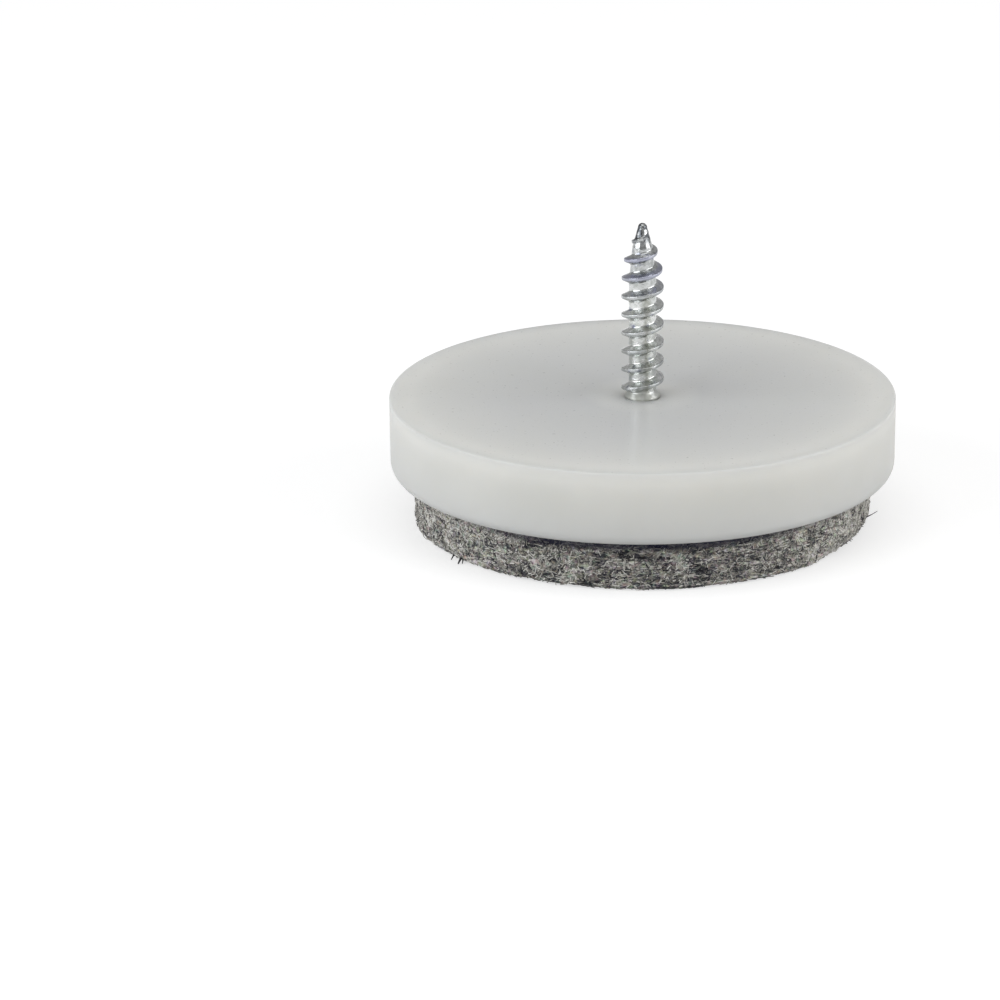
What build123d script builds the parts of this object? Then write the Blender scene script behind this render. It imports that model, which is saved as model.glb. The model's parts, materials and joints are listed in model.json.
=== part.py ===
from build123d import *
import math
import os

# Screw-in felt glide for a furniture leg, in millimetres.
# The origin is the centre of the disc's top face, which seats against the leg.
# +Z runs along the screw towards its point, and the felt looks down at the floor.
# Four pieces: a moulded nylon disc, a hexagon-head wood screw that the disc is moulded
# round, a felt pad, and the adhesive film that bonds the pad into the disc's underside.

# Disc
disc_diameter = 50.0
disc_height = 7.5
top_edge_bevel = 0.3
bottom_edge_radius = 1.1
draft_angle = 0.7             # degrees, the wall narrows towards the underside

# Gate mark in the wall, a shallow crater with a nub where the runner was cut off
gate_diameter = 1.6
gate_depth = 0.25
gate_nub_diameter = 0.6
gate_nub_height = 0.15
gate_direction = 100.0        # degrees round the axis from +X

# Felt pad and the recess that holds it
felt_diameter = 44.9
felt_thickness = 6.0
felt_edge_bevel = 0.6         # the cut edge is rubbed down towards the floor
recess_depth = 0.9
recess_clearance = 0.1        # round the felt, on the radius
film_thickness = 0.2
film_setback = 0.4            # the film is cut smaller than the felt, on the radius

# Screw
thread_diameter = 4.2
core_diameter = 2.7
thread_pitch = 1.87
crest_width = 0.24
flank_angle = 27.0            # degrees, on each side of the ridge
thread_start_angle = 0.0      # degrees from +X, where the ridge rises out of the neck
thread_start_height = -0.1    # from the disc's top face
thread_end_setback = 1.5      # the ridge ends this far below the tip
run_out_turns = 0.5           # the ridge reaches full height over this much of a turn
fade_turns = 1.3              # and fades into the point over this much
exposed_length = 17.7         # above the disc's top face
neck_diameter = 3.45
neck_rise = 0.05              # the neck starts to narrow this far above the top face
neck_taper_length = 0.5
taper_length = 6.0            # the core narrows over this length below the tip
point_length = 2.4            # and more steeply over this length
point_radius = 1.0            # core radius where the steep part starts
tip_radius = 0.46             # core radius where the blunt nose starts
head_across_flats = 7.0
head_height = 2.4
head_chamfer = 0.4            # off the corners of the head's end face
head_setback = 0.1            # the head stops short of the recess floor by this

# Fit of the disc round the screw
moulded_gap = 0.02            # round the neck and the head's flats
relief_clearance = 0.15       # the hole's mouth is wider than the thread, on the radius
relief_depth = 0.15

# Heights above the top face and sizes that follow from these
recess_floor = recess_depth - disc_height
head_face = recess_floor + head_setback + head_height
thread_depth = (thread_diameter - core_diameter) / 2

# How the ridge is built into the core
ridge_root_depth = 0.3        # the ridge's section reaches this far inside the core
start_sink = 0.2              # it starts with its crest this far inside the neck
end_step = 0.1                # and ends this high on the point
sections_per_turn = 12


standing = (Align.CENTER, Align.CENTER, Align.MIN)


def outline(corners):
    return make_face(Polyline(*corners, close=True))


def corner_at(face, radius, height):
    return face.vertices().sort_by_distance((radius, height, 0))[0]


def turned(face):
    """A solid turned about the Z axis from a face drawn as (radius, height)."""
    return revolve(Plane.XZ * face, Axis.Z)


# Disc

def disc_blank():
    outer = disc_diameter / 2
    lower = outer - disc_height * math.tan(math.radians(draft_angle))
    face = outline([(0, 0), (outer, 0), (lower, -disc_height), (0, -disc_height)])
    face = chamfer(corner_at(face, outer, 0), top_edge_bevel)
    face = fillet(corner_at(face, lower, -disc_height), bottom_edge_radius)
    return turned(face)


def felt_recess():
    radius = felt_diameter / 2 + recess_clearance
    return Pos(0, 0, recess_floor - recess_depth / 2) * Cylinder(radius, recess_depth)


def screw_hole():
    """Hole for the neck, with a mouth that clears the thread."""
    radius = neck_diameter / 2 + moulded_gap
    mouth = max(thread_diameter, neck_diameter) / 2 + relief_clearance
    return turned(outline([
        (0, 0.1),
        (mouth, 0.1),
        (mouth, 0),
        (radius, -relief_depth),
        (radius, recess_floor - 0.1),
        (0, recess_floor - 0.1),
    ]))


def head_pocket():
    flats = head_across_flats / 2 + moulded_gap
    hexagon = RegularPolygon(flats, 6, major_radius=False)
    return Pos(0, 0, head_face) * extrude(hexagon, -(head_face - recess_floor + 0.1))


def gate_crater():
    """Cutter for a crater halfway up the wall, with a small nub left standing in it."""
    nub = Cylinder(gate_nub_diameter / 2, gate_nub_height, align=standing)
    crater = Cylinder(gate_diameter / 2, 2 * gate_depth, align=standing) - nub
    place = Pos(disc_diameter / 2 - gate_depth, 0, -disc_height / 2)
    return Rot(0, 0, gate_direction) * place * Rot(0, 90, 0) * crater


def disc():
    return disc_blank() - felt_recess() - screw_hole() - head_pocket() - gate_crater()


# Felt and adhesive film

def adhesive_film():
    radius = felt_diameter / 2 - film_setback
    sheet = Cylinder(radius, film_thickness, align=standing)
    return Pos(0, 0, recess_floor - film_thickness) * sheet


def felt_pad():
    radius = felt_diameter / 2
    top = recess_floor - film_thickness
    bottom = top - felt_thickness
    face = outline([(0, top), (radius, top), (radius, bottom), (0, bottom)])
    return turned(chamfer(corner_at(face, radius, bottom), felt_edge_bevel))


# Screw

def core_outline():
    """(radius, height) corners of the screw without its thread, from the neck to the tip."""
    return [
        (neck_diameter / 2, neck_rise),
        (core_diameter / 2, neck_rise + neck_taper_length),
        (core_diameter / 2, exposed_length - taper_length),
        (point_radius, exposed_length - point_length),
        (tip_radius, exposed_length - tip_radius),
    ]


def core_radius(height):
    corners = core_outline()
    if height <= corners[0][1]:
        return corners[0][0]
    for (r0, z0), (r1, z1) in zip(corners, corners[1:]):
        if height <= z1:
            return r0 + (r1 - r0) * (height - z0) / (z1 - z0)
    return corners[-1][0]


def screw_core():
    """Neck, core and point, with a blunt nose in two bevels."""
    shank = [(0, head_face), (neck_diameter / 2, head_face), *core_outline()]
    nose = [(0.65 * tip_radius, exposed_length - 0.25 * tip_radius), (0, exposed_length)]
    return turned(outline(shank + nose))


def thread_turns():
    """Number of turns the ridge makes."""
    end_height = exposed_length - thread_end_setback
    return (end_height - thread_start_height) / thread_pitch


def ridge_section(turn):
    """Corners of the ridge's section after some turns, as (radius, height)."""
    middle = thread_start_height + thread_pitch * turn
    surface = core_radius(middle)
    full = min(thread_depth, thread_diameter / 2 - surface)
    rising = -start_sink + (full + start_sink) * turn / run_out_turns
    fading = end_step + (full - end_step) * (thread_turns() - turn) / fade_turns
    crest = surface + min(full, rising, fading)
    root = min(surface, core_diameter / 2) - ridge_root_depth
    half_crest = crest_width / 2
    half_root = half_crest + (crest - root) * math.tan(math.radians(flank_angle))
    return [
        (root, middle - half_root),
        (crest, middle - half_crest),
        (crest, middle + half_crest),
        (root, middle + half_root),
    ]


def ridge_stretch(first, last):
    """The ridge between two turn counts: its section carried along four helical edges,
    with faces ruled between them and a flat face at each end."""
    steps = math.ceil((last - first) * sections_per_turn)
    tracks = [[], [], [], []]
    for step in range(steps + 1):
        turn = first + (last - first) * step / steps
        angle = math.radians(thread_start_angle + 360 * turn)
        for track, (radius, height) in zip(tracks, ridge_section(turn)):
            track.append((radius * math.cos(angle), radius * math.sin(angle), height))
    edges = [Edge.make_spline(track) for track in tracks]
    sides = zip(edges, edges[1:] + edges[:1])
    faces = [Face.make_surface_from_curves(lower, upper) for lower, upper in sides]
    for end in (0, -1):
        faces.append(Face(Wire.make_polygon([track[end] for track in tracks], close=True)))
    return Solid(Shell(faces))


def thread_ridge():
    """Stretches of the ridge that meet where its shape changes: it rises out of the neck,
    runs full along the core in two stretches, follows the core as it narrows, and fades
    into the point."""
    turns = thread_turns()
    taper_turn = (exposed_length - taper_length - thread_start_height) / thread_pitch
    changes = [run_out_turns, taper_turn / 2, taper_turn, turns - fade_turns, turns]
    cuts = [0]
    for turn in sorted(changes):
        if turn - cuts[-1] > 0.2:
            cuts.append(turn)
    return [ridge_stretch(first, last) for first, last in zip(cuts, cuts[1:])]


def hex_head():
    """Hexagon head, its end face chamfered at the corners."""
    corner_radius = head_across_flats / math.sqrt(3)
    hexagon = extrude(RegularPolygon(head_across_flats / 2, 6, major_radius=False), head_height)
    bar = Cylinder(corner_radius, head_height, align=standing)
    bar = chamfer(bar.edges().group_by(Axis.Z)[0], head_chamfer)
    return Pos(0, 0, head_face - head_height) * (hexagon & bar)


def screw():
    return hex_head() + screw_core() + thread_ridge()


os.makedirs("parts", exist_ok=True)
export_step(disc(), "parts/glide_disc.step")
export_step(screw(), "parts/wood_screw.step")
export_step(adhesive_film(), "parts/adhesive_film.step")
export_step(felt_pad(), "parts/felt_pad.step")
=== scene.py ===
# %% [markdown]
# # A screw-in felt glide
# A glide like this is screwed into the end of a chair leg. A nylon disc takes the load,
# a wood screw moulded into the disc holds it to the leg, and a felt pad under the disc
# slides on the floor without a scratch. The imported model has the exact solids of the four
# pieces. It is loaded first, as a fixed frame that never moves, and everything that is
# made afterwards dresses it, in metres and in the same place.

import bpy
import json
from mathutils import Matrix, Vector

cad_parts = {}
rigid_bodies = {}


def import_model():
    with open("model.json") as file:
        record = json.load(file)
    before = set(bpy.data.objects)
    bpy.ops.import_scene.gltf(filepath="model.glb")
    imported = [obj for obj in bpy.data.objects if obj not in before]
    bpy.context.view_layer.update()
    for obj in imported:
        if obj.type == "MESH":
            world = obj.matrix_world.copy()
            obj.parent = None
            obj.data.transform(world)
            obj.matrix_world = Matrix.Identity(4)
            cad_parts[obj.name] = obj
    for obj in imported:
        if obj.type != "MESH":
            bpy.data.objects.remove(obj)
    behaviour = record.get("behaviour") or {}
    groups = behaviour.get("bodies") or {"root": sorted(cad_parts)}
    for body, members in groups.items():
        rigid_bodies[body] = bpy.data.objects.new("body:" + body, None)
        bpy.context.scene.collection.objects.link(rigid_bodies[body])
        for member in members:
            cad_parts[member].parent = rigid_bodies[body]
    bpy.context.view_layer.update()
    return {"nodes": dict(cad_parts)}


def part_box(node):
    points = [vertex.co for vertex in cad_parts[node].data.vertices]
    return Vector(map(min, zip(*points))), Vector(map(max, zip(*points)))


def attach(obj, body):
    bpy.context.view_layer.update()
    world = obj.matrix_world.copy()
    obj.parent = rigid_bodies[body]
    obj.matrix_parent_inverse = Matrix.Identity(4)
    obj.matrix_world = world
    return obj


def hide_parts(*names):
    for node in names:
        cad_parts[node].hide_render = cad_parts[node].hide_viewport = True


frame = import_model()
print("nodes:", sorted(frame["nodes"]))

# %% [markdown]
# ## Sizes
# The boxes of the solids give the outer sizes. The rest are the maker's sizes, written in
# millimetres because a screw or a felt pad is sold that way, and turned into metres here.

# %% Sizes read from the solids
import json
import math

import bmesh
import bpy
from mathutils import Matrix, Vector

mm = 0.001
disc_low, disc_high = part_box("glide_disc")
screw_low, screw_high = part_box("wood_screw")
felt_low, felt_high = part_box("felt_pad")
disc_radius = disc_high.x
disc_height = disc_high.z - disc_low.z
felt_radius = felt_high.x
floor_height = felt_low.z
tip_height = screw_high.z
print("disc radius, height:", round(disc_radius / mm, 2), round(disc_height / mm, 2), "mm")
print("felt radius:", round(felt_radius / mm, 2), "mm, screw tip:", round(tip_height / mm, 2), "mm")

# %% [markdown]
# ## Writing node trees as sums
# Materials and Geometry Nodes are both trees of nodes. Built one node at a time, a simple
# sum takes four lines, so one small class wraps a socket and lets Python's own signs add
# the Math nodes. Every other node comes from one method, which takes the kind of node, its
# settings, and the values or links of its sockets.

# %% A wrapped socket
class Value:
    """One output of a node. A sum on it adds a Math node."""

    def __init__(self, tree, socket):
        self.tree, self.socket = tree, socket

    def math(self, operation, *terms):
        inputs = dict(enumerate((self, *terms)))
        return self.tree.node("ShaderNodeMath", {"operation": operation}, inputs)

    def turned_round(self, operation, first):
        return self.tree.node("ShaderNodeMath", {"operation": operation}, {0: first, 1: self})

    def other(self, name):
        """Another output of the same node."""
        return Value(self.tree, find_socket(self.socket.node.outputs, name))

    def __add__(self, term): return self.math("ADD", term)
    def __sub__(self, term): return self.math("SUBTRACT", term)
    def __mul__(self, term): return self.math("MULTIPLY", term)
    def __truediv__(self, term): return self.math("DIVIDE", term)
    def __pow__(self, term): return self.math("POWER", term)
    def __neg__(self): return self.math("MULTIPLY", -1.0)
    def __abs__(self): return self.math("ABSOLUTE")
    def __gt__(self, term): return self.math("GREATER_THAN", term)
    def __lt__(self, term): return self.math("LESS_THAN", term)
    def __rsub__(self, term): return self.turned_round("SUBTRACT", term)
    def __rtruediv__(self, term): return self.turned_round("DIVIDE", term)
    __radd__, __rmul__ = __add__, __mul__

    def ramp(self, low, high, start=0.0, end=1.0):
        """Goes from start to end while this goes from low to high, and stays there."""
        inputs = {"Value": self, "From Min": low, "From Max": high, "To Min": start, "To Max": end}
        return self.tree.node("ShaderNodeMapRange", {}, inputs)

    def times(self, x, y, z):
        """This place, stretched along each axis."""
        settings, inputs = {"operation": "MULTIPLY"}, {0: self, 1: (x, y, z)}
        return self.tree.node("ShaderNodeVectorMath", settings, inputs)


def find_socket(sockets, name):
    """A socket by its number, or the one in use that has this name or identifier."""
    if isinstance(name, int):
        return sockets[name]
    exact = [s for s in sockets if s.identifier == name and s.enabled]
    return (exact or [s for s in sockets if s.name == name and s.enabled])[0]


print("signs that add a node:", "+ - * / ** > < abs")

# %% A tree that adds nodes
class Tree:
    """A node tree that is filled with one method."""

    def __init__(self, nodes):
        self.nodes = nodes

    def node(self, kind, settings, inputs, output=0):
        made = self.nodes.nodes.new(kind)
        for name, setting in settings.items():
            if name == "stops":
                set_stops(made.color_ramp, setting)
            else:
                setattr(made, name, setting)
        for name, value in inputs.items():
            socket = find_socket(made.inputs, name)
            if isinstance(value, Value):
                self.nodes.links.new(value.socket, socket)
            else:
                socket.default_value = value
        return Value(self, find_socket(made.outputs, output))

    def blend(self, amount, first, second, how="MIX"):
        """A colour between two others."""
        inputs = {"Factor_Float": amount, "A_Color": first, "B_Color": second}
        settings = {"data_type": "RGBA", "blend_type": how}
        return self.node("ShaderNodeMix", settings, inputs, "Result_Color")

    def noise(self, place, scale, detail=2.0, roughness=0.5, output="Fac"):
        """Noise whose scale counts its waves in a metre: 2000 gives half a millimetre."""
        inputs = {"Vector": place, "Scale": scale, "Detail": detail, "Roughness": roughness}
        return self.node("ShaderNodeTexNoise", {}, inputs, output)


def set_stops(colour_ramp, stops):
    for extra in range(len(stops) - 2):
        colour_ramp.elements.new(0.5)
    for element, (place, shade) in zip(colour_ramp.elements, stops):
        element.position, element.color = place, shade


def colour(red, green, blue):
    """A colour read off a chart in 0 to 255, as the plain light that a shader uses."""
    def light(c):
        c = c / 255
        return c / 12.92 if c <= 0.04045 else ((c + 0.055) / 1.055) ** 2.4
    return (light(red), light(green), light(blue), 1.0)


print("mid grey on a chart is", round(colour(128, 128, 128)[0], 3), "in plain light")

# %% [markdown]
# ## Materials start from one shader
# Each material is a single Principled shader. What never changes over the surface, such as
# the metal or the milky depth of nylon, is set straight on the shader's own sockets. What
# does change, the colour, roughness and small bumps, comes from nodes that read the
# object's own coordinates, so a pattern stays on its piece when the camera moves.

# %% A material with its shader, coordinates and bumps
def new_material(name, **constants):
    material = bpy.data.materials.new(name)
    material.use_nodes = True
    tree = Tree(material.node_tree)
    shader = material.node_tree.nodes["Principled BSDF"]
    for label, value in constants.items():
        shader.inputs[label.replace("_", " ")].default_value = value
    place = tree.node("ShaderNodeTexCoord", {}, {}, "Object")
    return material, tree, shader, place


def connect(tree, shader, **links):
    for label, value in links.items():
        tree.nodes.links.new(value.socket, shader.inputs[label.replace("_", " ")])


def split(tree, place):
    """A place or a direction as three numbers: east, north and up."""
    east = tree.node("ShaderNodeSeparateXYZ", {}, {0: place})
    return east, east.other("Y"), east.other("Z")


def bumps(tree, height, depth):
    """A Normal made from a height field, depth in metres."""
    return tree.node("ShaderNodeBump", {}, {"Height": height, "Strength": 1.0, "Distance": depth})


def give(piece, material):
    piece.data.materials.clear()
    piece.data.materials.append(material)


print("materials so far:", len(bpy.data.materials))

# %% [markdown]
# ## Turning a mesh
# Disc and felt are both round, so each starts as a profile of radius and height that is
# turned about the screw's axis, as on a lathe. Writing the rings by hand instead of using
# a Screw modifier keeps the seam closed and the points on the axis single.

# %% A lathe for profiles
def lathe(name, profile, segments, closed=False):
    """A mesh from (radius, height) points. A closed profile comes back to its start."""
    shape = bmesh.new()
    rings = []
    for radius, height in profile:
        count = segments if radius else 1
        angles = [2 * math.pi * k / segments for k in range(count)]
        rings.append([
            shape.verts.new((radius * math.cos(a), radius * math.sin(a), height)) for a in angles
        ])
    pairs = list(zip(rings, rings[1:])) + ([(rings[-1], rings[0])] if closed else [])
    for low, high in pairs:
        for k in range(segments):
            corners = [low[k % len(low)], low[(k + 1) % len(low)],
                       high[(k + 1) % len(high)], high[k % len(high)]]
            shape.faces.new(list(dict.fromkeys(corners)))
    bmesh.ops.recalc_face_normals(shape, faces=shape.faces)
    mesh = bpy.data.meshes.new(name)
    shape.to_mesh(mesh)
    shape.free()
    return mesh


def arc(centre, radius, first, last, steps):
    """Points of an arc in the profile, angles in degrees from straight outwards."""
    turns = [math.radians(first + (last - first) * k / steps) for k in range(steps + 1)]
    return [(centre[0] + radius * math.cos(t), centre[1] + radius * math.sin(t)) for t in turns]


def run(start, end, steps):
    """Points along a straight part of the profile, without its last one."""
    (r0, z0), (r1, z1) = start, end
    shares = [k / steps for k in range(steps)]
    return [(r0 + (r1 - r0) * s, z0 + (z1 - z0) * s) for s in shares]


print("a quarter arc in 8 steps has", len(arc((0, 0), 1, 90, 0, 8)), "points")

# %% [markdown]
# ## The disc
# The disc is one nylon moulding, 50 mm across. Its top edge is rounded so slightly that it
# only shows as a soft light line, and its wall leans in a little, because the part has to
# come out of its mould. A cylinder with a Bevel modifier would round both edges alike. The
# solid has small flat bevels there, so a finer copy is turned with a real arc on each edge,
# the recess for the felt included.

# %% Turn the disc's profile
top_edge_radius = 0.2 * mm
bottom_edge_radius = 1.1 * mm
recess_edge_radius = 0.15 * mm
wall_lean = math.radians(0.7)
recess_radius = felt_radius + 0.1 * mm
recess_floor = disc_low.z + 0.9 * mm
hole_radius = 1.745 * mm
mouth_radius, mouth_depth = 2.25 * mm, 0.15 * mm
row_gap = 0.2 * mm
disc_segments = 288

lower_radius = disc_radius - disc_height * math.tan(wall_lean)
wall_top = (disc_radius, -top_edge_radius - row_gap)
wall_foot = (lower_radius, disc_low.z + bottom_edge_radius)
disc_profile = [
    (hole_radius, recess_floor),
    (hole_radius, -mouth_depth),
    *run((mouth_radius, 0), (disc_radius - top_edge_radius, 0), 16),
    *arc((disc_radius - top_edge_radius, -top_edge_radius), top_edge_radius, 90, 0, 8),
    *run(wall_top, wall_foot, 10),
    *arc((lower_radius - bottom_edge_radius, wall_foot[1]), bottom_edge_radius, 0, -90, 12),
    (recess_radius + 0.3 * mm, disc_low.z),
    *arc((recess_radius + recess_edge_radius, disc_low.z + recess_edge_radius),
         recess_edge_radius, -90, -180, 4),
    (recess_radius, recess_floor),
    *run((recess_radius - 1 * mm, recess_floor), (hole_radius, recess_floor), 8),
]
disc_mesh = lathe("moulded_disc", disc_profile, disc_segments, closed=True)
print("disc:", len(disc_mesh.polygons), "faces")

# %% [markdown]
# ## Pocket and gate mark
# Two things on the disc aren't round. A hexagon pocket under it holds the screw's head, so
# that the screw can't turn. A shallow crater in the wall, with a nub in it, is where the
# moulding was cut from its runner. Both could be modelled into the rings by hand, but a
# Boolean that cuts a small turned shape out of the disc leaves the rest of the mesh alone.

# %% Cutting one shape out of another
def new_object(name, mesh):
    piece = bpy.data.objects.new(name, mesh)
    bpy.context.scene.collection.objects.link(piece)
    return piece


def keep_result(piece):
    """Replaces the object's mesh with what its modifiers make of it."""
    graph = bpy.context.evaluated_depsgraph_get()
    seen = piece.evaluated_get(graph)
    made = bpy.data.meshes.new_from_object(seen, preserve_all_data_layers=True, depsgraph=graph)
    piece.modifiers.clear()
    piece.data = made


def combine(piece, operation, tool_mesh):
    tool = new_object("tool", tool_mesh)
    boolean = piece.modifiers.new("combine", "BOOLEAN")
    boolean.operation, boolean.solver, boolean.object = operation, "EXACT", tool
    keep_result(piece)
    bpy.data.objects.remove(tool)


def smooth(mesh, angle):
    """Smooth shading, apart from edges sharper than this many degrees."""
    mesh.shade_smooth()
    mesh.set_sharp_from_angle(angle=math.radians(angle))


disc = new_object("moulded_disc", disc_mesh)
print("disc is", [round(side / mm, 2) for side in disc.dimensions], "mm")

# %% Cut the hexagon pocket
head_height = 2.4 * mm
head_face = screw_low.z + head_height
pocket_flats = 7.04 * mm
overshoot = 0.2 * mm


def hexagon(name, flats, foot, top):
    """A hexagon bar, its flats facing east and west."""
    corner = flats / math.sqrt(3)
    mesh = lathe(name, [(0, foot), (corner, foot), (corner, top), (0, top)], 6)
    mesh.transform(Matrix.Rotation(math.radians(30), 4, "Z"))
    return mesh


pocket = hexagon("pocket", pocket_flats, recess_floor - overshoot, head_face)
combine(disc, "DIFFERENCE", pocket)
print("pocket depth:", round((head_face - recess_floor) / mm, 2), "mm")

# %% Cut the crater that the gate left
gate_radius, gate_depth = 0.8 * mm, 0.25 * mm
gate_floor_radius, gate_floor_bevel = gate_radius * 0.9, 0.1 * mm
gate_reach = 1 * mm
nub_radius, nub_height = 0.3 * mm, 0.15 * mm
gate_direction = math.radians(100)

crater = lathe("crater", [
    (0, nub_height), (nub_radius, nub_height), (nub_radius, 0), (gate_floor_radius, 0),
    (gate_radius, gate_floor_bevel), (gate_radius, gate_reach), (0, gate_reach)], 32)
outwards = Matrix.Rotation(math.radians(90), 4, "Y")
into_wall = Matrix.Translation((disc_radius - gate_depth, 0, -disc_height / 2))
crater.transform(Matrix.Rotation(gate_direction, 4, "Z") @ into_wall @ outwards)
combine(disc, "DIFFERENCE", crater)
smooth(disc.data, 32)
print("disc after cutting:", len(disc.data.polygons), "faces")

# %% [markdown]
# ## Milky nylon
# Natural nylon isn't a painted white. Light goes a few millimetres into it and comes out
# again, so thin parts and edges look lighter and the thick middle looks greyer. A plain
# white shader would look like chalk. Subsurface scattering does most of the work here, and
# painted rim light, a colour that grows lighter towards the rim, does the rest. Painted
# light round the screw's neck lifts the screw's shadow, and painted shade along the top
# edge dims its highlight. On top come soft clouds from the flow of the plastic, a few specks
# of dust, and a wall that is a little duller than the top.

# %% Nylon's depth, painted rim and neck light, and painted edge shade
nylon, tree, shader, place = new_material(
    "milky_nylon", IOR=1.5, Specular_IOR_Level=0.25, Subsurface_Weight=1.0,
    Subsurface_Radius=(1.0, 0.95, 0.88), Subsurface_Scale=0.007)
middle_nylon, painted_rim_light_nylon = colour(194, 195, 195), colour(218, 218, 214)
cloudy_nylon, painted_edge_shade_nylon = colour(202, 203, 199), colour(188, 189, 186)

east, north, height = split(tree, place)
from_axis = (east * east + north * north) ** 0.5
# painted rim light: the colour grows lighter towards the rim, on top of the subsurface light
painted_rim_light = from_axis.ramp(7 * mm, 25 * mm) ** 1.6
# painted light round the screw's neck, lifting the shadow that the screw casts there
painted_neck_light = from_axis.ramp(2 * mm, 6 * mm, 0.9, 0.0)
body = tree.blend(painted_rim_light + painted_neck_light, middle_nylon, painted_rim_light_nylon)
clouds = tree.noise(place, scale=110.0, detail=3.0)
body = tree.blend(clouds.ramp(0.3, 0.7) * 0.35, body, cloudy_nylon)
# painted shade along the disc's top edge, dimming the highlight of its rounding
corner = (from_axis.ramp(22.5 * mm, 25 * mm) * height.ramp(-1.4 * mm, 0.0)) ** 2.0
body = tree.blend(corner, body, painted_edge_shade_nylon)
print("nylon glow and clouds:", len(nylon.node_tree.nodes), "nodes")

# %% Nylon's dust and grain
dust_colour, speck_size, clean_share = colour(120, 120, 122), 0.045, 0.992
dust = tree.node("ShaderNodeTexVoronoi", {}, {"Vector": place, "Scale": 420.0}, "Distance")
cell = tree.node("ShaderNodeSeparateColor", {}, {0: dust.other("Color")}, "Red")
speck = (dust < speck_size) * (cell > clean_share)
body = tree.blend(speck * 0.45, body, dust_colour)

grain = tree.noise(place, scale=2600.0, roughness=0.6)
waves = tree.noise(place, scale=160.0, roughness=0.4)
wall = height.ramp(-0.2 * mm, -0.5 * mm)
roughness = grain.ramp(0.3, 0.7, 0.27, 0.35) + wall * 0.25
connect(tree, shader, Base_Color=body, Roughness=roughness,
        Normal=bumps(tree, waves * 8.0 + grain, 0.004 * mm))
give(disc, nylon)
print("nylon:", len(nylon.node_tree.nodes), "nodes")

# %% [markdown]
# ## Zinc plating
# Zinc is a bright grey metal, slightly blue, with dull patches where the rolled steel was
# rough under it. A metal with one roughness would show a softbox as one clean stripe, and
# the real screw shows blotches, so roughness and bumps vary at about a third of a
# millimetre. The ridge is bluer near the point, crease-like marks near the point are
# painted shade, the crest carries painted shade that dims its highlight, a painted dark
# reflection, a little rougher too, runs as a stripe down one side, and a thin film of nylon
# crept up the neck when the disc was moulded round it.

# %% Zinc's patches, dents and painted crease shade
zinc, tree, shader, place = new_material("zinc_plated_steel", Metallic=1.0, IOR=2.0)
dull_below, dull_above = colour(194, 198, 194), colour(160, 163, 162)
bright_below, bright_above = colour(230, 231, 231), colour(202, 204, 205)
dent_colour, painted_crease_shade = colour(136, 140, 158), colour(66, 70, 76)

patches = tree.noise(place, scale=1900.0, detail=3.0, roughness=0.6)
dents = tree.noise(place, scale=1300.0)
pits = tree.noise(place, scale=5200.0, roughness=0.6)
east, north, height = split(tree, place)
upper = height.ramp(9 * mm, 13 * mm)
dull = tree.blend(upper, dull_below, dull_above)
bright = tree.blend(upper, bright_below, bright_above)
metal = tree.blend(patches.ramp(0.35, 0.65), dull, bright)
metal = tree.blend(dents.ramp(0.62, 0.75), metal, dent_colour)
near_tip = height.ramp(15.7 * mm, 16.2 * mm)
# painted shade in crease-like marks near the point, over the dents' bumps
metal = tree.blend(dents.ramp(0.45, 0.53) * near_tip * 0.9, metal, painted_crease_shade)
print("zinc skin:", len(zinc.node_tree.nodes), "nodes")

# %% Zinc's ridge, painted crest shade, painted dark stripe and film
ridge_colour, painted_crest_shade = colour(152, 154, 180), colour(142, 146, 152)
painted_stripe_colour, film_colour = colour(128, 128, 112), colour(156, 158, 150)
painted_stripe_direction = 0.3

from_axis = (east * east + north * north) ** 0.5
ridge = from_axis.ramp(1.4 * mm, 1.65 * mm) * height.ramp(10.5 * mm, 12.5 * mm)
metal = tree.blend(ridge * 0.6, metal, ridge_colour)
# painted shade on the thread's crest, dimming its highlight
crest = from_axis.ramp(1.96 * mm, 2.06 * mm)
metal = tree.blend(crest * 0.4, metal, painted_crest_shade)
# painted dark stripe down one side of the shank: a dark reflection painted into the colour, and a
# little rougher too
direction = east.math("ARCTAN2", -north)
astray = abs(direction - painted_stripe_direction + (dents - 0.5))
painted_dark_stripe = astray.ramp(0.05, 0.35, 1.0, 0.0) * height.ramp(10 * mm, 12 * mm, 1.0, 0.0)
metal = tree.blend(painted_dark_stripe * 0.45, metal, painted_stripe_colour)
film = height.ramp(0.35 * mm, 1.0 * mm, 0.9, 0.0) * dents.ramp(0.35, 0.6, 1.0, 0.6)
metal = tree.blend(film, metal, film_colour)
roughness = patches.ramp(0.35, 0.7, 0.1, 0.3) + film * 0.35 + painted_dark_stripe * 0.1
connect(tree, shader, Base_Color=metal, Roughness=roughness, Metallic=1.0 - film * 0.6,
        Normal=bumps(tree, dents + pits * 0.25, 0.05 * mm))
print("zinc:", len(zinc.node_tree.nodes), "nodes")

# %% [markdown]
# ## Trees that make geometry
# The thread follows a rule and the felt's fibres repeat by the thousand, which is what
# Geometry Nodes are good at. Each tree gets named inputs for its sizes, so a size can be
# changed without opening the tree. The result is kept as a plain mesh and the modifier is
# removed, because an exported file has no node trees in it.

# %% A Geometry Nodes tree with named inputs
kinds = {float: "NodeSocketFloat", int: "NodeSocketInt"}


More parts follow.
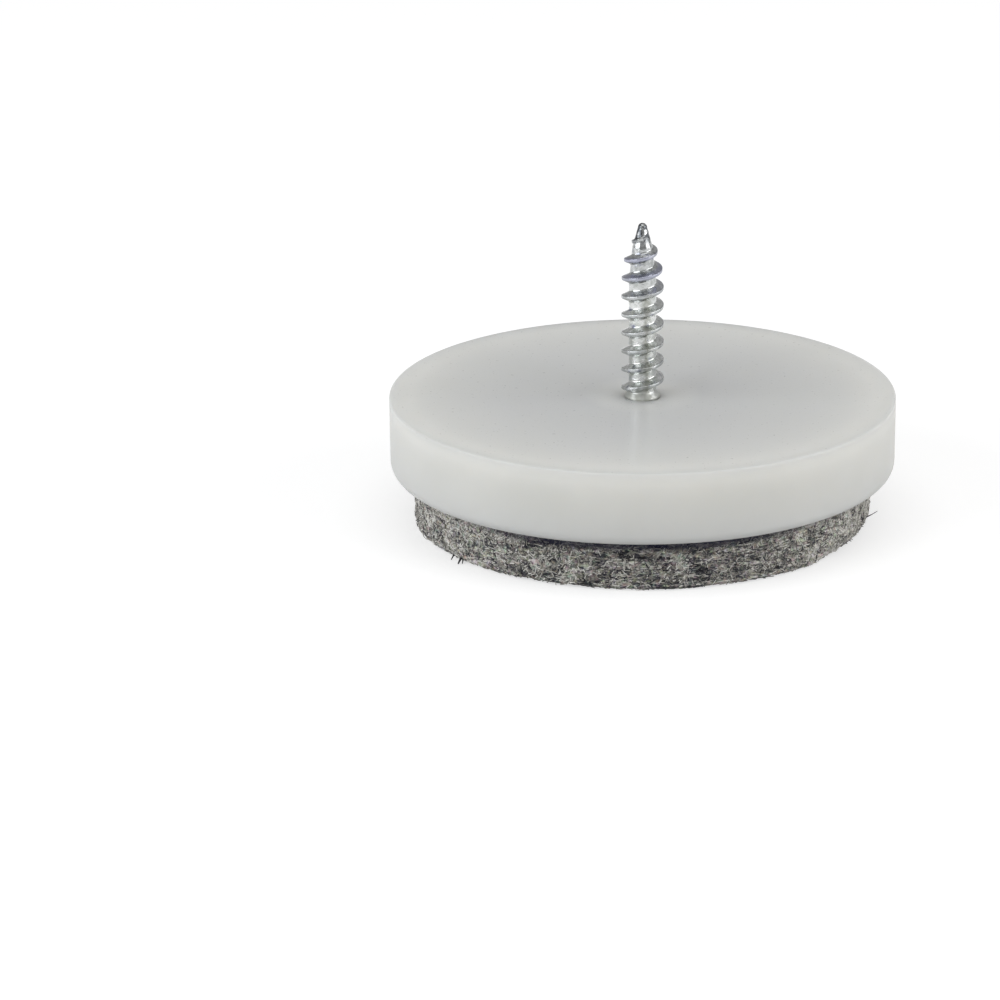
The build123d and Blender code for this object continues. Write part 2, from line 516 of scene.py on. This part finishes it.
def new_geometry_tree(name, sizes):
    """An empty tree with these inputs, and the inputs by name."""
    group = bpy.data.node_groups.new(name, "GeometryNodeTree")
    group.interface.new_socket("Geometry", in_out="INPUT", socket_type="NodeSocketGeometry")
    group.interface.new_socket("Geometry", in_out="OUTPUT", socket_type="NodeSocketGeometry")
    for label, value in sizes.items():
        kind = kinds.get(type(value), "NodeSocketMaterial")
        group.interface.new_socket(label, in_out="INPUT", socket_type=kind)
    tree = Tree(group)
    source = group.nodes.new("NodeGroupInput")
    inputs = {socket.name: Value(tree, socket) for socket in source.outputs if socket.name}
    return tree, inputs


def close_tree(tree, geometry, material):
    """Ends the tree: instances made real, then the material."""
    real = tree.node("GeometryNodeRealizeInstances", {}, {"Geometry": geometry})
    done = tree.node("GeometryNodeSetMaterial", {}, {"Geometry": real, "Material": material})
    end = tree.nodes.nodes.new("NodeGroupOutput")
    tree.nodes.links.new(done.socket, end.inputs[0])


def grow(name, tree, sizes, mesh=None):
    """Runs a tree on a mesh with these sizes, and keeps the result as a plain mesh."""
    piece = new_object(name, mesh or bpy.data.meshes.new(name))
    modifier = piece.modifiers.new(name, "NODES")
    modifier.node_group = tree.nodes
    for item in tree.nodes.interface.items_tree:
        if item.in_out == "INPUT" and item.name in sizes:
            modifier[item.identifier] = sizes[item.name]
    keep_result(piece)
    return piece


print("kinds of input:", sorted(kind.__name__ for kind in kinds), "and material")

# %% [markdown]
# ## The screw
# The screw is rolled from steel wire, so its thread is a ridge that stands out of the core
# and winds round it. A mesh that is cut into level rings would show steps where the ridge
# crosses them. Here a flat grid is wound up instead: its long side follows the helix and
# its short side spans one pitch, so rows of points run exactly along the crest. Turn after
# turn meets edge to edge, and merging those points closes the skin.

# %% The screw's sizes
screw_sizes = {
    "Thread diameter": 4.2 * mm,
    "Core diameter": 2.7 * mm,
    "Pitch": 1.87 * mm,
    "Crest width": 0.24 * mm,
    "Flank slope": 1 / math.tan(math.radians(27)),
    "Thread start": -0.1 * mm,
    "Thread end": tip_height - 1.5 * mm,
    "Start sink": 0.2 * mm,
    "End step": 0.1 * mm,
    "Run-out turns": 0.5,
    "Fade turns": 1.3,
    "Neck diameter": 3.45 * mm,
    "Neck rise": 0.05 * mm,
    "Neck end": 0.55 * mm,
    "Shank foot": head_face - 0.5 * mm,
    "Tip height": tip_height,
    "Point length": 2.4 * mm,
    "Point radius": 1.0 * mm,
    "Taper length": 6.0 * mm,
    "Nose radius": 0.46 * mm,
    "Root rounding": 0.16 * mm,
    "Crest rounding": 0.05 * mm,
    "Unevenness": 0.02 * mm,
    "Merge distance": 0.002 * mm,
    "Steps a turn": 60,
    "Steps across": 36,
    "Material": zinc,
}
tree, size = new_geometry_tree("wound thread", screw_sizes)
print("screw sizes:", len(screw_sizes))

# %% Lay out the flat grid
pitch = size["Pitch"]
below = (size["Thread start"] - size["Shank foot"]) / pitch + 1.5
above = (size["Tip height"] - size["Thread start"]) / pitch + 1.0
whole = (below + above).math("CEIL")
grid = tree.node("GeometryNodeMeshGrid", {}, {
    "Size X": whole, "Size Y": 1.0,
    "Vertices X": whole * size["Steps a turn"] + 1.0,
    "Vertices Y": size["Steps across"] + 1.0})
along, across, _ = split(tree, tree.node("GeometryNodeInputPosition", {}, {}))
turn = along + whole * 0.5 - below
crowded = 0.4  # rows lie this close together on the crest, and wider apart in the root
across = across * (crowded + abs(across) * (2 * (1 - crowded)))
middle = size["Thread start"] + pitch * turn
raw_height = middle + pitch * across
height = raw_height.math("MAXIMUM", size["Shank foot"]).math("MINIMUM", size["Tip height"])
print("grid:", len(tree.nodes.nodes), "nodes")

# %% The core under the thread
def core_radius(height):
    """The screw without its thread: neck, straight core, slow taper, point, round nose."""
    core = size["Core diameter"] * 0.5
    down = size["Tip height"] - height
    widening = size["Neck diameter"] * 0.5 - core
    neck = height.ramp(size["Neck rise"], size["Neck end"], widening, 0.0)
    narrowing = size["Point radius"] - core
    taper = down.ramp(size["Point length"], size["Taper length"], narrowing, 0.0)
    closing = size["Nose radius"] - size["Point radius"]
    point = down.ramp(size["Nose radius"], size["Point length"], closing, 0.0)
    share = (down / size["Nose radius"]).math("MINIMUM", 1.0).math("MAXIMUM", 0.0)
    nose = size["Nose radius"] * ((1.0 - (1.0 - share) ** 2.0) ** 0.5 - 1.0)
    return core + neck + taper + point + nose


surface = core_radius(middle)
core = core_radius(height)
print("with the core:", len(tree.nodes.nodes), "nodes")

# %% The ridge on the core
deepest = (size["Thread diameter"] - size["Core diameter"]) * 0.5
full = (size["Thread diameter"] * 0.5 - surface).math("MINIMUM", deepest)
sink, step = size["Start sink"], size["End step"]
rising = (full + sink) * turn / size["Run-out turns"] - sink
turns_left = (size["Thread end"] - middle) / pitch
fading = step + (full - step) * turns_left / size["Fade turns"]
crest = surface + full.math("MINIMUM", rising).math("MINIMUM", fading)
sideways = (abs(across) * pitch - size["Crest width"] * 0.5).math("MAXIMUM", 0.0)
flank = crest + size["Crest rounding"] - sideways * size["Flank slope"]
ridge = flank.math("SMOOTH_MIN", crest, size["Crest rounding"] * 2.0)
skin = ridge.math("SMOOTH_MAX", core, size["Root rounding"])
print("with the ridge:", len(tree.nodes.nodes), "nodes")

# %% Wind the grid into a screw
def on_helix(radius):
    angle = turn * (2 * math.pi)
    return tree.node("ShaderNodeCombineXYZ", {}, {
        0: radius * angle.math("COSINE"), 1: radius * angle.math("SINE"), 2: height})


lumps = (tree.noise(on_helix(core), scale=1500.0) - 0.5) * size["Unevenness"] * 2.0
lumps = lumps * (core / size["Nose radius"]).math("MINIMUM", 1.0)
inside = (raw_height > size["Shank foot"]) * (raw_height < size["Tip height"])
wound = on_helix((skin + lumps) * inside)
shank = tree.node("GeometryNodeSetPosition", {}, {"Geometry": grid, "Position": wound})
shank = tree.node("GeometryNodeMergeByDistance", {},
                  {"Geometry": shank, "Distance": size["Merge distance"]})
close_tree(tree, shank, size["Material"])
screw = grow("zinc_wood_screw", tree, screw_sizes)
print("screw shank:", len(screw.data.polygons), "faces")

# %% [markdown]
# ## The hexagon head
# The head sits in the disc's pocket and is never seen, but the screw's mesh is kept as a
# result of its own, so it gets one. It is a hexagon bar whose end was turned to a chamfer,
# and the crossing of a bar and a turned shape is just that: an Intersect Boolean.

# %% Add the hexagon head
head_flats = 7.0 * mm
head_chamfer = 0.4 * mm
head_corner = head_flats / math.sqrt(3)
head_foot = screw_low.z


def join(name, meshes, material):
    """One mesh from several, its doubles merged and its faces turned outwards."""
    shape = bmesh.new()
    for mesh in meshes:
        shape.from_mesh(mesh)
    bmesh.ops.remove_doubles(shape, verts=shape.verts, dist=0.0005 * mm)
    bmesh.ops.recalc_face_normals(shape, faces=shape.faces)
    made = bpy.data.meshes.new(name)
    shape.to_mesh(made)
    shape.free()
    made.materials.append(material)
    return made


head = new_object("hexagon_head", hexagon("hexagon_bar", head_flats, head_foot, head_face))
turned = lathe("turned_bar", [
    (0, head_foot), (head_corner - head_chamfer, head_foot),
    (head_corner, head_foot + head_chamfer), (head_corner, head_face), (0, head_face)], 48)
combine(head, "INTERSECT", turned)
screw.data = join("zinc_wood_screw", [screw.data, head.data], zinc)
bpy.data.objects.remove(head)
smooth(screw.data, 50)
tip = max(vertex.co.z for vertex in screw.data.vertices)
print("screw:", len(screw.data.polygons), "faces, tip at", round(tip / mm, 2), "mm")

# %% [markdown]
# ## The felt
# The pad is cut from needled felt: layers of mixed waste fibre, dark blue, grey, beige and
# white, punched together with barbed needles. The cut edge shows the layers from the side.
# One noise would look like marble, so the colour adds up three of them: flat strands, round
# clumps and fine threads, and a ramp with five stops gives each its dye. Upright tufts are
# where a needle pulled fibres through. Painted light makes the edge lighter towards the
# pad's two ends, and painted shade darkens it just under the disc's rim.

# %% Felt material
def painted_end_light(east):
    """Painted light that grows towards the pad's east and west ends."""
    return abs(east).ramp(10 * mm, 20 * mm)


def painted_rim_shade(height, clumps, end_light):
    """Painted shade just under the disc's rim, ragged below and weaker towards the pad's ends."""
    ragged = height + clumps * (0.8 * mm)
    return ragged.ramp(-8.5 * mm, -8.0 * mm) * (0.8 - end_light * 0.8)


felt, tree, shader, place = new_material(
    "mixed_felt", Specular_IOR_Level=0.15, Sheen_Weight=0.3, Sheen_Roughness=0.5)
felt_stops = [
    (0.41, colour(13, 13, 19)), (0.46, colour(58, 58, 63)), (0.51, colour(132, 129, 122)),
    (0.56, colour(184, 181, 173)), (0.63, colour(230, 228, 222))]
tuft_colour, painted_rim_shade_colour = colour(178, 176, 168), colour(28, 28, 54)

east, _, height = split(tree, place)
strands = tree.noise(place.times(0.28, 0.28, 1.6), scale=1500.0, detail=4.0, roughness=0.65)
clumps = tree.noise(place, scale=620.0, detail=3.0, roughness=0.6)
tufts = tree.noise(place.times(1.5, 1.5, 0.4), scale=420.0)
threads = tree.noise(place.times(0.6, 0.6, 1.3), scale=4200.0, roughness=0.6)
# painted light: the felt gets lighter towards its east and west ends
end_light = painted_end_light(east)
mixture = strands * 0.4 + clumps * 0.25 + threads * 0.35 + end_light * 0.05
fleck = tree.node("ShaderNodeValToRGB", {"stops": felt_stops}, {"Fac": mixture})
fleck = tree.blend(tufts.ramp(0.6, 0.72) * 0.6, fleck, tuft_colour)
dyes = tree.noise(place, scale=1900.0, detail=1.0, output="Color")
fleck = tree.blend(0.35, fleck, dyes, "OVERLAY")
# painted shade just under the disc's rim, weaker towards the pad's ends
fleck = tree.blend(painted_rim_shade(height, clumps, end_light), fleck, painted_rim_shade_colour)
connect(tree, shader, Base_Color=fleck, Roughness=mixture.ramp(0.3, 0.7, 0.85, 0.98),
        Normal=bumps(tree, strands + threads * 0.5, 0.12 * mm))
print("felt:", len(felt.node_tree.nodes), "nodes")

# %% [markdown]
# ## The felt body
# A die cuts the pad out of a thick sheet, and the sheet springs back unevenly, so the cut
# edge sways, its layers stand out by different amounts, and the edge at the floor is rubbed
# round. Sculpting would do for one pad. Here a turned mesh is pushed in and out by three
# noises, one for each of these, and it is left alone where the disc holds it.

# %% Turn the felt's profile
felt_top = felt_high.z
felt_edge = 0.6 * mm
felt_segments = 900
felt_profile = [
    (0, felt_top), (felt_radius * 0.5, felt_top),
    *run((felt_radius, felt_top), (felt_radius, floor_height + felt_edge), 44),
    *arc((felt_radius - felt_edge, floor_height + felt_edge), felt_edge, 0, -90, 6),
    *run((felt_radius - 2 * felt_edge, floor_height), (0, floor_height), 16),
    (0, floor_height),
]
felt_mesh = lathe("felt_body", felt_profile, felt_segments)
print("felt before pushing:", len(felt_mesh.polygons), "faces")

# %% Push it in and out
def keep_above_floor(mesh):
    for vertex in mesh.vertices:
        vertex.co.z = max(vertex.co.z, floor_height)


felt_sizes = {
    "Sway": 0.16 * mm, "Layers": 0.28 * mm, "Fuzz": 0.14 * mm, "Trimmed": 0.4 * mm,
    "Drawn in": 0.08 * mm, "Held above": disc_low.z, "Material": felt,
}
tree, size = new_geometry_tree("pushed felt", felt_sizes)
source = tree.node("GeometryNodeInputPosition", {}, {})
facing = tree.node("GeometryNodeInputNormal", {}, {})
east, _, level = split(tree, source)
flat = source.times(0.3, 0.3, 1.5)
sway = (tree.noise(source, scale=90.0, detail=1.0) - 0.5) * size["Sway"] * 2.0
layers = tree.noise(flat, scale=900.0, detail=3.0, roughness=0.6) - 0.5
layers = layers * size["Layers"] * 2.0
fuzz = (tree.noise(source, scale=3200.0, roughness=0.6) - 0.5) * size["Fuzz"] * 2.0
free = level.ramp(size["Held above"] + 0.3 * mm, size["Held above"] - 0.2 * mm)
lower_east = east.ramp(16 * mm, 19.5 * mm) * level.ramp(-11.3 * mm, -12.6 * mm)
push = (sway + layers + fuzz - lower_east * size["Trimmed"] - size["Drawn in"]) * free
moved = tree.node("ShaderNodeVectorMath", {"operation": "SCALE"}, {0: facing, "Scale": push})
pushed = tree.node("GeometryNodeSetPosition", {},
                   {"Geometry": size["Geometry"], "Offset": moved})
close_tree(tree, pushed, size["Material"])
felt_body = grow("felt_body", tree, felt_sizes, felt_mesh)
keep_above_floor(felt_body.data)
smooth(felt_body.data, 180)
print("felt body:", len(felt_body.data.polygons), "faces")

# %% [markdown]
# ## Fibre colours
# A felt fibre has one colour along its whole length, and its neighbour may have quite
# another. A pattern in space would cut across them, so each fibre carries a number from
# dark to light, painted light at the pad's ends included, and the material turns that
# number into a dye. Wear greys it a little, and painted shade darkens the fibres just under
# the disc's rim.

# %% Fibre material, coloured by the number that each fibre carries
fibre, tree, shader, place = new_material(
    "felt_fibre", Specular_IOR_Level=0.2, Sheen_Weight=0.3, Sheen_Roughness=0.5)
fibre_stops = [
    (0.22, colour(14, 14, 23)), (0.36, colour(60, 60, 70)), (0.5, colour(126, 123, 116)),
    (0.64, colour(176, 172, 163)), (0.8, colour(232, 230, 224))]
worn_colour = colour(120, 120, 118)

shade = tree.node("ShaderNodeAttribute", {"attribute_name": "shade"}, {}, "Fac")
dyed_and_shaded = tree.node("ShaderNodeValToRGB", {"stops": fibre_stops}, {"Fac": shade})
worn = tree.noise(place, scale=2500.0)
dyed_and_shaded = tree.blend(worn.ramp(0.4, 0.7) * 0.3, dyed_and_shaded, worn_colour)
east, _, height = split(tree, place)
clumps = tree.noise(place, scale=620.0, detail=3.0, roughness=0.6)
# the same painted shade under the disc's rim as on the felt body
dyed_and_shaded = tree.blend(painted_rim_shade(height, clumps, painted_end_light(east)), dyed_and_shaded, painted_rim_shade_colour)
connect(tree, shader, Base_Color=dyed_and_shaded, Roughness=worn.ramp(0.3, 0.7, 0.7, 0.95))
print("fibre:", len(fibre.node_tree.nodes), "nodes")

# %% [markdown]
# ## Fibres
# A pad's cut edge is a mat of fibre ends, soft against the light. Blender's hair would draw
# them, but the mesh of the pad would stay bald. Here each fibre is a short curved wire with
# three sides. Points are scattered over the body with a fixed seed. On the cut edge the
# wires lie along the layers, most of them nearly level, and on the underside they lie every
# which way. The lines are made real before they bend, so that each one bends its own way.

# %% The fibres' sizes, and three lots of them
fibre_sizes = {
    "Density": 7.2e6, "Underside": 0.2, "Length": 1.0 * mm, "Thickness": 0.09 * mm,
    "Tilt": 1.6, "Lift": 0.05, "Curl": 0.5 * mm, "Below": disc_low.z + 0.1 * mm,
    "Floor": floor_height, "Seed": 7, "Material": fibre,
}
lots = {
    "felt_fibres_long": {"Length": 1.0 * mm, "Thickness": 0.09 * mm, "Seed": 7},
    "felt_fibres_short": {"Length": 0.45 * mm, "Thickness": 0.15 * mm, "Seed": 17},
    "felt_fibres_fine": {"Length": 0.7 * mm, "Thickness": 0.1 * mm, "Seed": 27},
}
fibre_points, fibre_sides = 4, 3
print("seeds of the lots:", [changes["Seed"] for changes in lots.values()])

# %% Scatter points on the felt
def draw(tree, size, low, high, number):
    """A random number for each point. The number of the draw keeps the draws apart."""
    inputs = {"Min_001": low, "Max_001": high, "Seed": size["Seed"] + number}
    return tree.node("FunctionNodeRandomValue", {"data_type": "FLOAT"}, inputs, "Value_001")


def scatter(tree, size):
    """Points all over the cut edge, fewer on the underside, and none up in the recess."""
    _, _, level = split(tree, tree.node("GeometryNodeInputPosition", {}, {}))
    _, _, upwards = split(tree, tree.node("GeometryNodeInputNormal", {}, {}))
    cut_edge = level.ramp(size["Floor"] + 0.2 * mm, size["Floor"] + 0.7 * mm)
    underside = abs(upwards).ramp(0.6, 0.9, 0.0, size["Underside"])
    return tree.node("GeometryNodeDistributePointsOnFaces", {}, {
        "Mesh": size["Geometry"], "Selection": level < size["Below"],
        "Density": size["Density"] * cut_edge.math("MAXIMUM", underside),
        "Seed": size["Seed"]})


print("points on a square millimetre:", fibre_sizes["Density"] * mm * mm)

# %% Turn each fibre to lie in its layer
def felt_tufts(tree):
    """The upright tufts again, where a fibre stands."""
    here = tree.node("GeometryNodeInputPosition", {}, {})
    return tree.noise(here.times(1.5, 1.5, 0.35), scale=420.0, detail=1.0).ramp(0.6, 0.66)


def fibre_rotation(tree, size, normal):
    """Level and along the edge, then tilted in the surface and lifted a little out of it."""
    along = tree.node("ShaderNodeVectorMath", {"operation": "CROSS_PRODUCT"},
                      {0: normal, 1: (0.0, 0.0, 1.0)})
    rotation = tree.node("FunctionNodeAlignRotationToVector", {"axis": "Z"}, {"Vector": normal})
    rotation = tree.node("FunctionNodeAlignRotationToVector", {"axis": "X", "pivot_axis": "Z"},
                         {"Rotation": rotation, "Vector": along})
    _, _, upwards = split(tree, normal)
    any_way = draw(tree, size, -3.2, 3.2, 2) * (abs(upwards) > 0.7)
    tilt = draw(tree, size, -1.0, 1.0, 1)
    tilt = tilt * abs(tilt) * size["Tilt"] + any_way + felt_tufts(tree) * 1.4
    lift = draw(tree, size, -1.0, 1.0, 3) * size["Lift"]
    for axis, angle in (((0, 0, 1), tilt), ((0, 1, 0), lift)):
        spin = tree.node("FunctionNodeAxisAngleToRotation", {}, {"Axis": axis, "Angle": angle})
        rotation = tree.node("FunctionNodeRotateRotation", {"rotation_space": "LOCAL"},
                             {"Rotation": rotation, "Rotate By": spin})
    return rotation


most = round(math.degrees(fibre_sizes["Tilt"]))
print("outside the tufts a fibre tilts by up to", most, "degrees")

# %% Give each fibre its shade
def fibre_shade(tree, size):
    """Random, but lighter in light clumps, layers and tufts, and lighter as painted light towards
    the pad's ends.
    """
    here = tree.node("GeometryNodeInputPosition", {}, {})
    east, _, _ = split(tree, here)
    flat = here.times(0.28, 0.28, 1.6)
    clump = tree.noise(here, scale=620.0, detail=3.0, roughness=0.6).ramp(0.35, 0.65)
    layer = tree.noise(flat, scale=1500.0, detail=4.0, roughness=0.65).ramp(0.35, 0.65)
    own = draw(tree, size, 0.0, 0.62, 5)
    # the pad's ends get painted light: fibres lighter towards east and west
    return own + clump * 0.22 + layer * 0.2 + felt_tufts(tree) * 0.15 + painted_end_light(east) * 0.14


print("darkest and lightest stop:", fibre_stops[0][0], fibre_stops[-1][0])

# %% Bend the fibres and give them thickness
def bend(tree, size, lines):
    """Moves each line's points by a noise that is different for each shade."""
    here = tree.node("GeometryNodeInputPosition", {}, {})
    own = tree.node("GeometryNodeInputNamedAttribute", {"data_type": "FLOAT"},
                    {"Name": "shade"}, "Attribute")
    field = tree.node("ShaderNodeTexNoise", {"noise_dimensions": "4D"},
                      {"Vector": here, "W": own * 50.0, "Scale": 1300.0, "Detail": 1.0}, "Color")
    sway = tree.node("ShaderNodeVectorMath", {"operation": "SUBTRACT"},
                     {0: field, 1: (0.5, 0.5, 0.5)})
    sway = tree.node("ShaderNodeVectorMath", {"operation": "SCALE"},
                     {0: sway, "Scale": size["Curl"]})
    return tree.node("GeometryNodeSetPosition", {}, {"Geometry": lines, "Offset": sway})


def thicken(tree, size, lines):
    profile = tree.node("GeometryNodeCurvePrimitiveCircle", {},
                        {"Resolution": fibre_sides, "Radius": size["Thickness"] * 0.5})
    return tree.node("GeometryNodeCurveToMesh", {},
                     {"Curve": lines, "Profile Curve": profile, "Fill Caps": True})


print("each fibre has", fibre_points, "rings of", fibre_sides, "points")

# %% The whole fibre tree
def fibre_tree(sizes):
    tree, size = new_geometry_tree("fibres", sizes)
    points = scatter(tree, size)
    line = tree.node("GeometryNodeCurvePrimitiveLine", {},
                     {"Start": (-0.5, 0.0, 0.0), "End": (0.5, 0.0, 0.0)})
    line = tree.node("GeometryNodeResampleCurve", {},
                     {"Curve": line, "Count": fibre_points})
    reach = draw(tree, size, 0.4, 1.0, 4) * size["Length"]
    lines = tree.node("GeometryNodeInstanceOnPoints", {}, {
        "Points": points, "Instance": line,
        "Rotation": fibre_rotation(tree, size, points.other("Normal")),
        "Scale": tree.node("ShaderNodeCombineXYZ", {}, {0: reach, 1: reach, 2: reach})})
    lines = tree.node("GeometryNodeStoreNamedAttribute",
                      {"data_type": "FLOAT", "domain": "INSTANCE"},
                      {"Geometry": lines, "Name": "shade", "Value": fibre_shade(tree, size)})
    lines = tree.node("GeometryNodeRealizeInstances", {}, {"Geometry": lines})
    close_tree(tree, thicken(tree, size, bend(tree, size, lines)), size["Material"])
    return tree


tree = fibre_tree(fibre_sizes)
print("fibre tree:", len(tree.nodes.nodes), "nodes")

# %% Grow three lots: long, short and fine
fibres = []
for name, changes in lots.items():
    lot = grow(name, tree, {**fibre_sizes, **changes}, felt_body.data.copy())
    keep_above_floor(lot.data)
    fibres.append(lot)
    lot.data.calc_loop_triangles()
    print(name, len(lot.data.loop_triangles), "triangles")

# %% [markdown]
# ## Stray fibres
# A few fibres have come loose and stick out where the pad was handled: one at the east end,
# three dark ones at the lower west edge. No noise would put them there, so each is laid one by
# one, as a thin wire that tapers and sags between two points.

# %% Lay the strays
stray_steps, stray_sides = 8, 6


def stray(start, end, sag, thickness):
    """A wire from start to end, all in millimetres, thinner towards its end."""
    shape = bmesh.new()
    start, end = Vector(start) * mm, Vector(end) * mm
    along = (end - start).normalized()
    sideways = along.orthogonal().normalized()
    upwards = along.cross(sideways)
    angles = [math.radians(360 / stray_sides * side) for side in range(stray_sides)]
    rings = []
    for step in range(stray_steps + 1):
        share = step / stray_steps
        droop = Vector((0, 0, -4 * sag * share * (1 - share) * mm))
        middle = start.lerp(end, share) + droop
        radius = thickness * 0.5 * mm * (1 - 0.6 * share)
        spokes = [math.cos(a) * sideways + math.sin(a) * upwards for a in angles]
        rings.append([shape.verts.new(middle + radius * spoke) for spoke in spokes])
    for low, high in zip(rings, rings[1:]):
        for side in range(stray_sides):
            after = (side + 1) % stray_sides
            shape.faces.new([low[side], low[after], high[after], high[side]])
    shape.faces.new(rings[0])
    shape.faces.new(rings[-1])
    mesh = bpy.data.meshes.new("stray")
    shape.to_mesh(mesh)
    shape.free()
    return mesh


strays = [
    stray((21.9, -3.0, -11.8), (23.2, -3.0, -11.1), sag=0.05, thickness=0.14),
    stray((-18.3, -12.0, -12.4), (-18.7, -13.1, -12.72), sag=-0.05, thickness=0.24),
    stray((-17.6, -13.0, -12.4), (-18.0, -14.4, -12.7), sag=-0.05, thickness=0.34),
    stray((-17.5, -13.2, -12.4), (-17.6, -14.3, -12.72), sag=-0.05, thickness=0.22),
]
stray_mesh = join("felt_strays", strays, fibre)
smooth(stray_mesh, 60)
fibres.append(new_object("felt_strays", stray_mesh))
print("strays:", len(strays))

# %% [markdown]
# ## The bond
# A film of adhesive holds the felt in its recess. It is out of sight between the two, so
# its solid stays as it is, and only gets the look of dark rubbery glue. The dark line under
# the rim is painted shade in the felt's own colours.

# %% Adhesive material
glue, tree, shader, place = new_material("dark_adhesive", Specular_IOR_Level=0.4)
smear = tree.noise(place, scale=500.0, detail=3.0, roughness=0.6)
dark = tree.blend(smear.ramp(0.35, 0.7), colour(28, 28, 44), colour(52, 52, 74))
connect(tree, shader, Base_Color=dark, Roughness=smear.ramp(0.3, 0.7, 0.45, 0.7),
        Normal=bumps(tree, smear, 0.05 * mm))
give(frame["nodes"]["adhesive_film"], glue)
print("glue:", len(glue.node_tree.nodes), "nodes")

# %% [markdown]
# ## Fixing the pieces to the frame
# Every piece is fixed to the one body of the model and hides the solid that it stands for,
# and the list beside it gives the finish that the record names for it. Needled felt is dense
# and keeps its cut shape.

# %% Fix the pieces to the frame
dressed = [(disc, "glide_disc", "white_nylon"), (screw, "wood_screw", "zinc_plated_steel"),
           (felt_body, "felt_pad", "grey_felt"),
           *((lot, "felt_pad", "grey_felt") for lot in fibres)]
for piece, node, finish in dressed:
    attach(piece, "root")
    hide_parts(node)
print("pieces:", [piece.name for piece, node, finish in dressed])

# %% [markdown]
# ## Floor
# The glide stands on a plain white floor. A floor that is bright enough to look white by
# its own colour needs so much light that the nylon would burn out. So it is a mid grey that
# shines a little by itself, for the camera and for reflections only, and the glide's
# shadow still shows on it. It lies a hair under the felt, so that the two never flicker.

# %% Lay the floor
floor_glow, floor_reach, floor_gap = 0.6, 6.0, 0.02 * mm
floor_material, tree, shader, place = new_material(
    "white_floor", Base_Color=(0.5, 0.5, 0.5, 1.0), Roughness=0.9, Specular_IOR_Level=0.0,
    Emission_Strength=1.0)
rays = tree.node("ShaderNodeLightPath", {}, {}, "Is Camera Ray")
seen = rays + rays.other("Is Glossy Ray") + rays.other("Is Transmission Ray")
seen = seen.math("MINIMUM", 1.0) * floor_glow
glow = tree.node("ShaderNodeCombineColor", {}, {0: seen, 1: seen, 2: seen})
connect(tree, shader, Emission_Color=glow)

corners = [(-1, -1), (1, -1), (1, 1), (-1, 1)]
floor_mesh = bpy.data.meshes.new("floor")
floor_mesh.from_pydata([(x * floor_reach, y * floor_reach, floor_height - floor_gap)
                        for x, y in corners], [], [range(len(corners))])
floor = new_object("floor", floor_mesh)
give(floor, floor_material)
print("floor at", round((floor_height - floor_gap) / mm, 2), "mm")

# %% [markdown]
# ## Light
# Small bright things are photographed in soft light: here one large softbox on each side, a
# weaker one above, and a pale grey world that fills the shadows. A ring of lamps would be
# more even, but the gap between the two side boxes gives the screw a dark stripe, which the
# zinc's painted dark stripe deepens.

# %% Softboxes and world
softbox_distance = 0.6


def softbox(name, direction, tilt, width, tall, power, tint=(1.0, 1.0, 1.0)):
    """A lamp at an angle round the glide and a height above it, aimed at its middle."""
    lamp = bpy.data.lights.new(name, "AREA")
    lamp.shape, lamp.size, lamp.size_y = "RECTANGLE", width, tall
    lamp.energy, lamp.color = power, tint
    holder = bpy.data.objects.new(name, lamp)
    bpy.context.scene.collection.objects.link(holder)
    a, e = math.radians(direction), math.radians(tilt)
    away = Vector((math.sin(a) * math.cos(e), -math.cos(a) * math.cos(e), math.sin(e)))
    holder.location = away * softbox_distance
    holder.rotation_euler = away.to_track_quat("Z", "Y").to_euler()


softbox("left_softbox", -62, 22, 0.6, 0.4, power=2.16, tint=(0.96, 0.98, 1.0))
softbox("right_softbox", 70, 22, 0.6, 0.4, power=1.9)
softbox("top_softbox", 0, 80, 0.5, 0.5, power=0.8)
world = bpy.data.worlds.new("studio")
bpy.context.scene.world = world
world.use_nodes = True
background = world.node_tree.nodes["Background"]
background.inputs["Color"].default_value = (1.0, 1.0, 1.0, 1.0)
background.inputs["Strength"].default_value = 0.42
print("lamps:", len(bpy.data.lights))

# %% [markdown]
# ## Camera
# A product like this is photographed from a good distance with a long lens, so that the
# round disc shows as an even ellipse. The ellipse tells the camera's tilt, and the shift
# moves the picture sideways and up without turning the camera, as a studio camera does.

# %% Camera
camera_data = bpy.data.cameras.new("camera")
camera_data.lens, camera_data.sensor_width = 364.9, 36.0
camera_data.shift_x, camera_data.shift_y = -0.1425, -0.10535
camera_data.dof.use_dof = False
camera_data.clip_start, camera_data.clip_end = 0.05, 20.0
camera = bpy.data.objects.new("camera", camera_data)
bpy.context.scene.collection.objects.link(camera)
camera_distance, camera_tilt = 1.0, math.radians(17.86)
camera.location = (0.0, -camera_distance * math.cos(camera_tilt),
                   camera_distance * math.sin(camera_tilt))
camera.rotation_euler = (math.radians(90) - camera_tilt, 0.0, 0.0)
bpy.context.scene.camera = camera
bpy.context.scene.view_settings.view_transform = "Standard"
print("camera tilt:", round(math.degrees(camera_tilt), 2), "degrees")
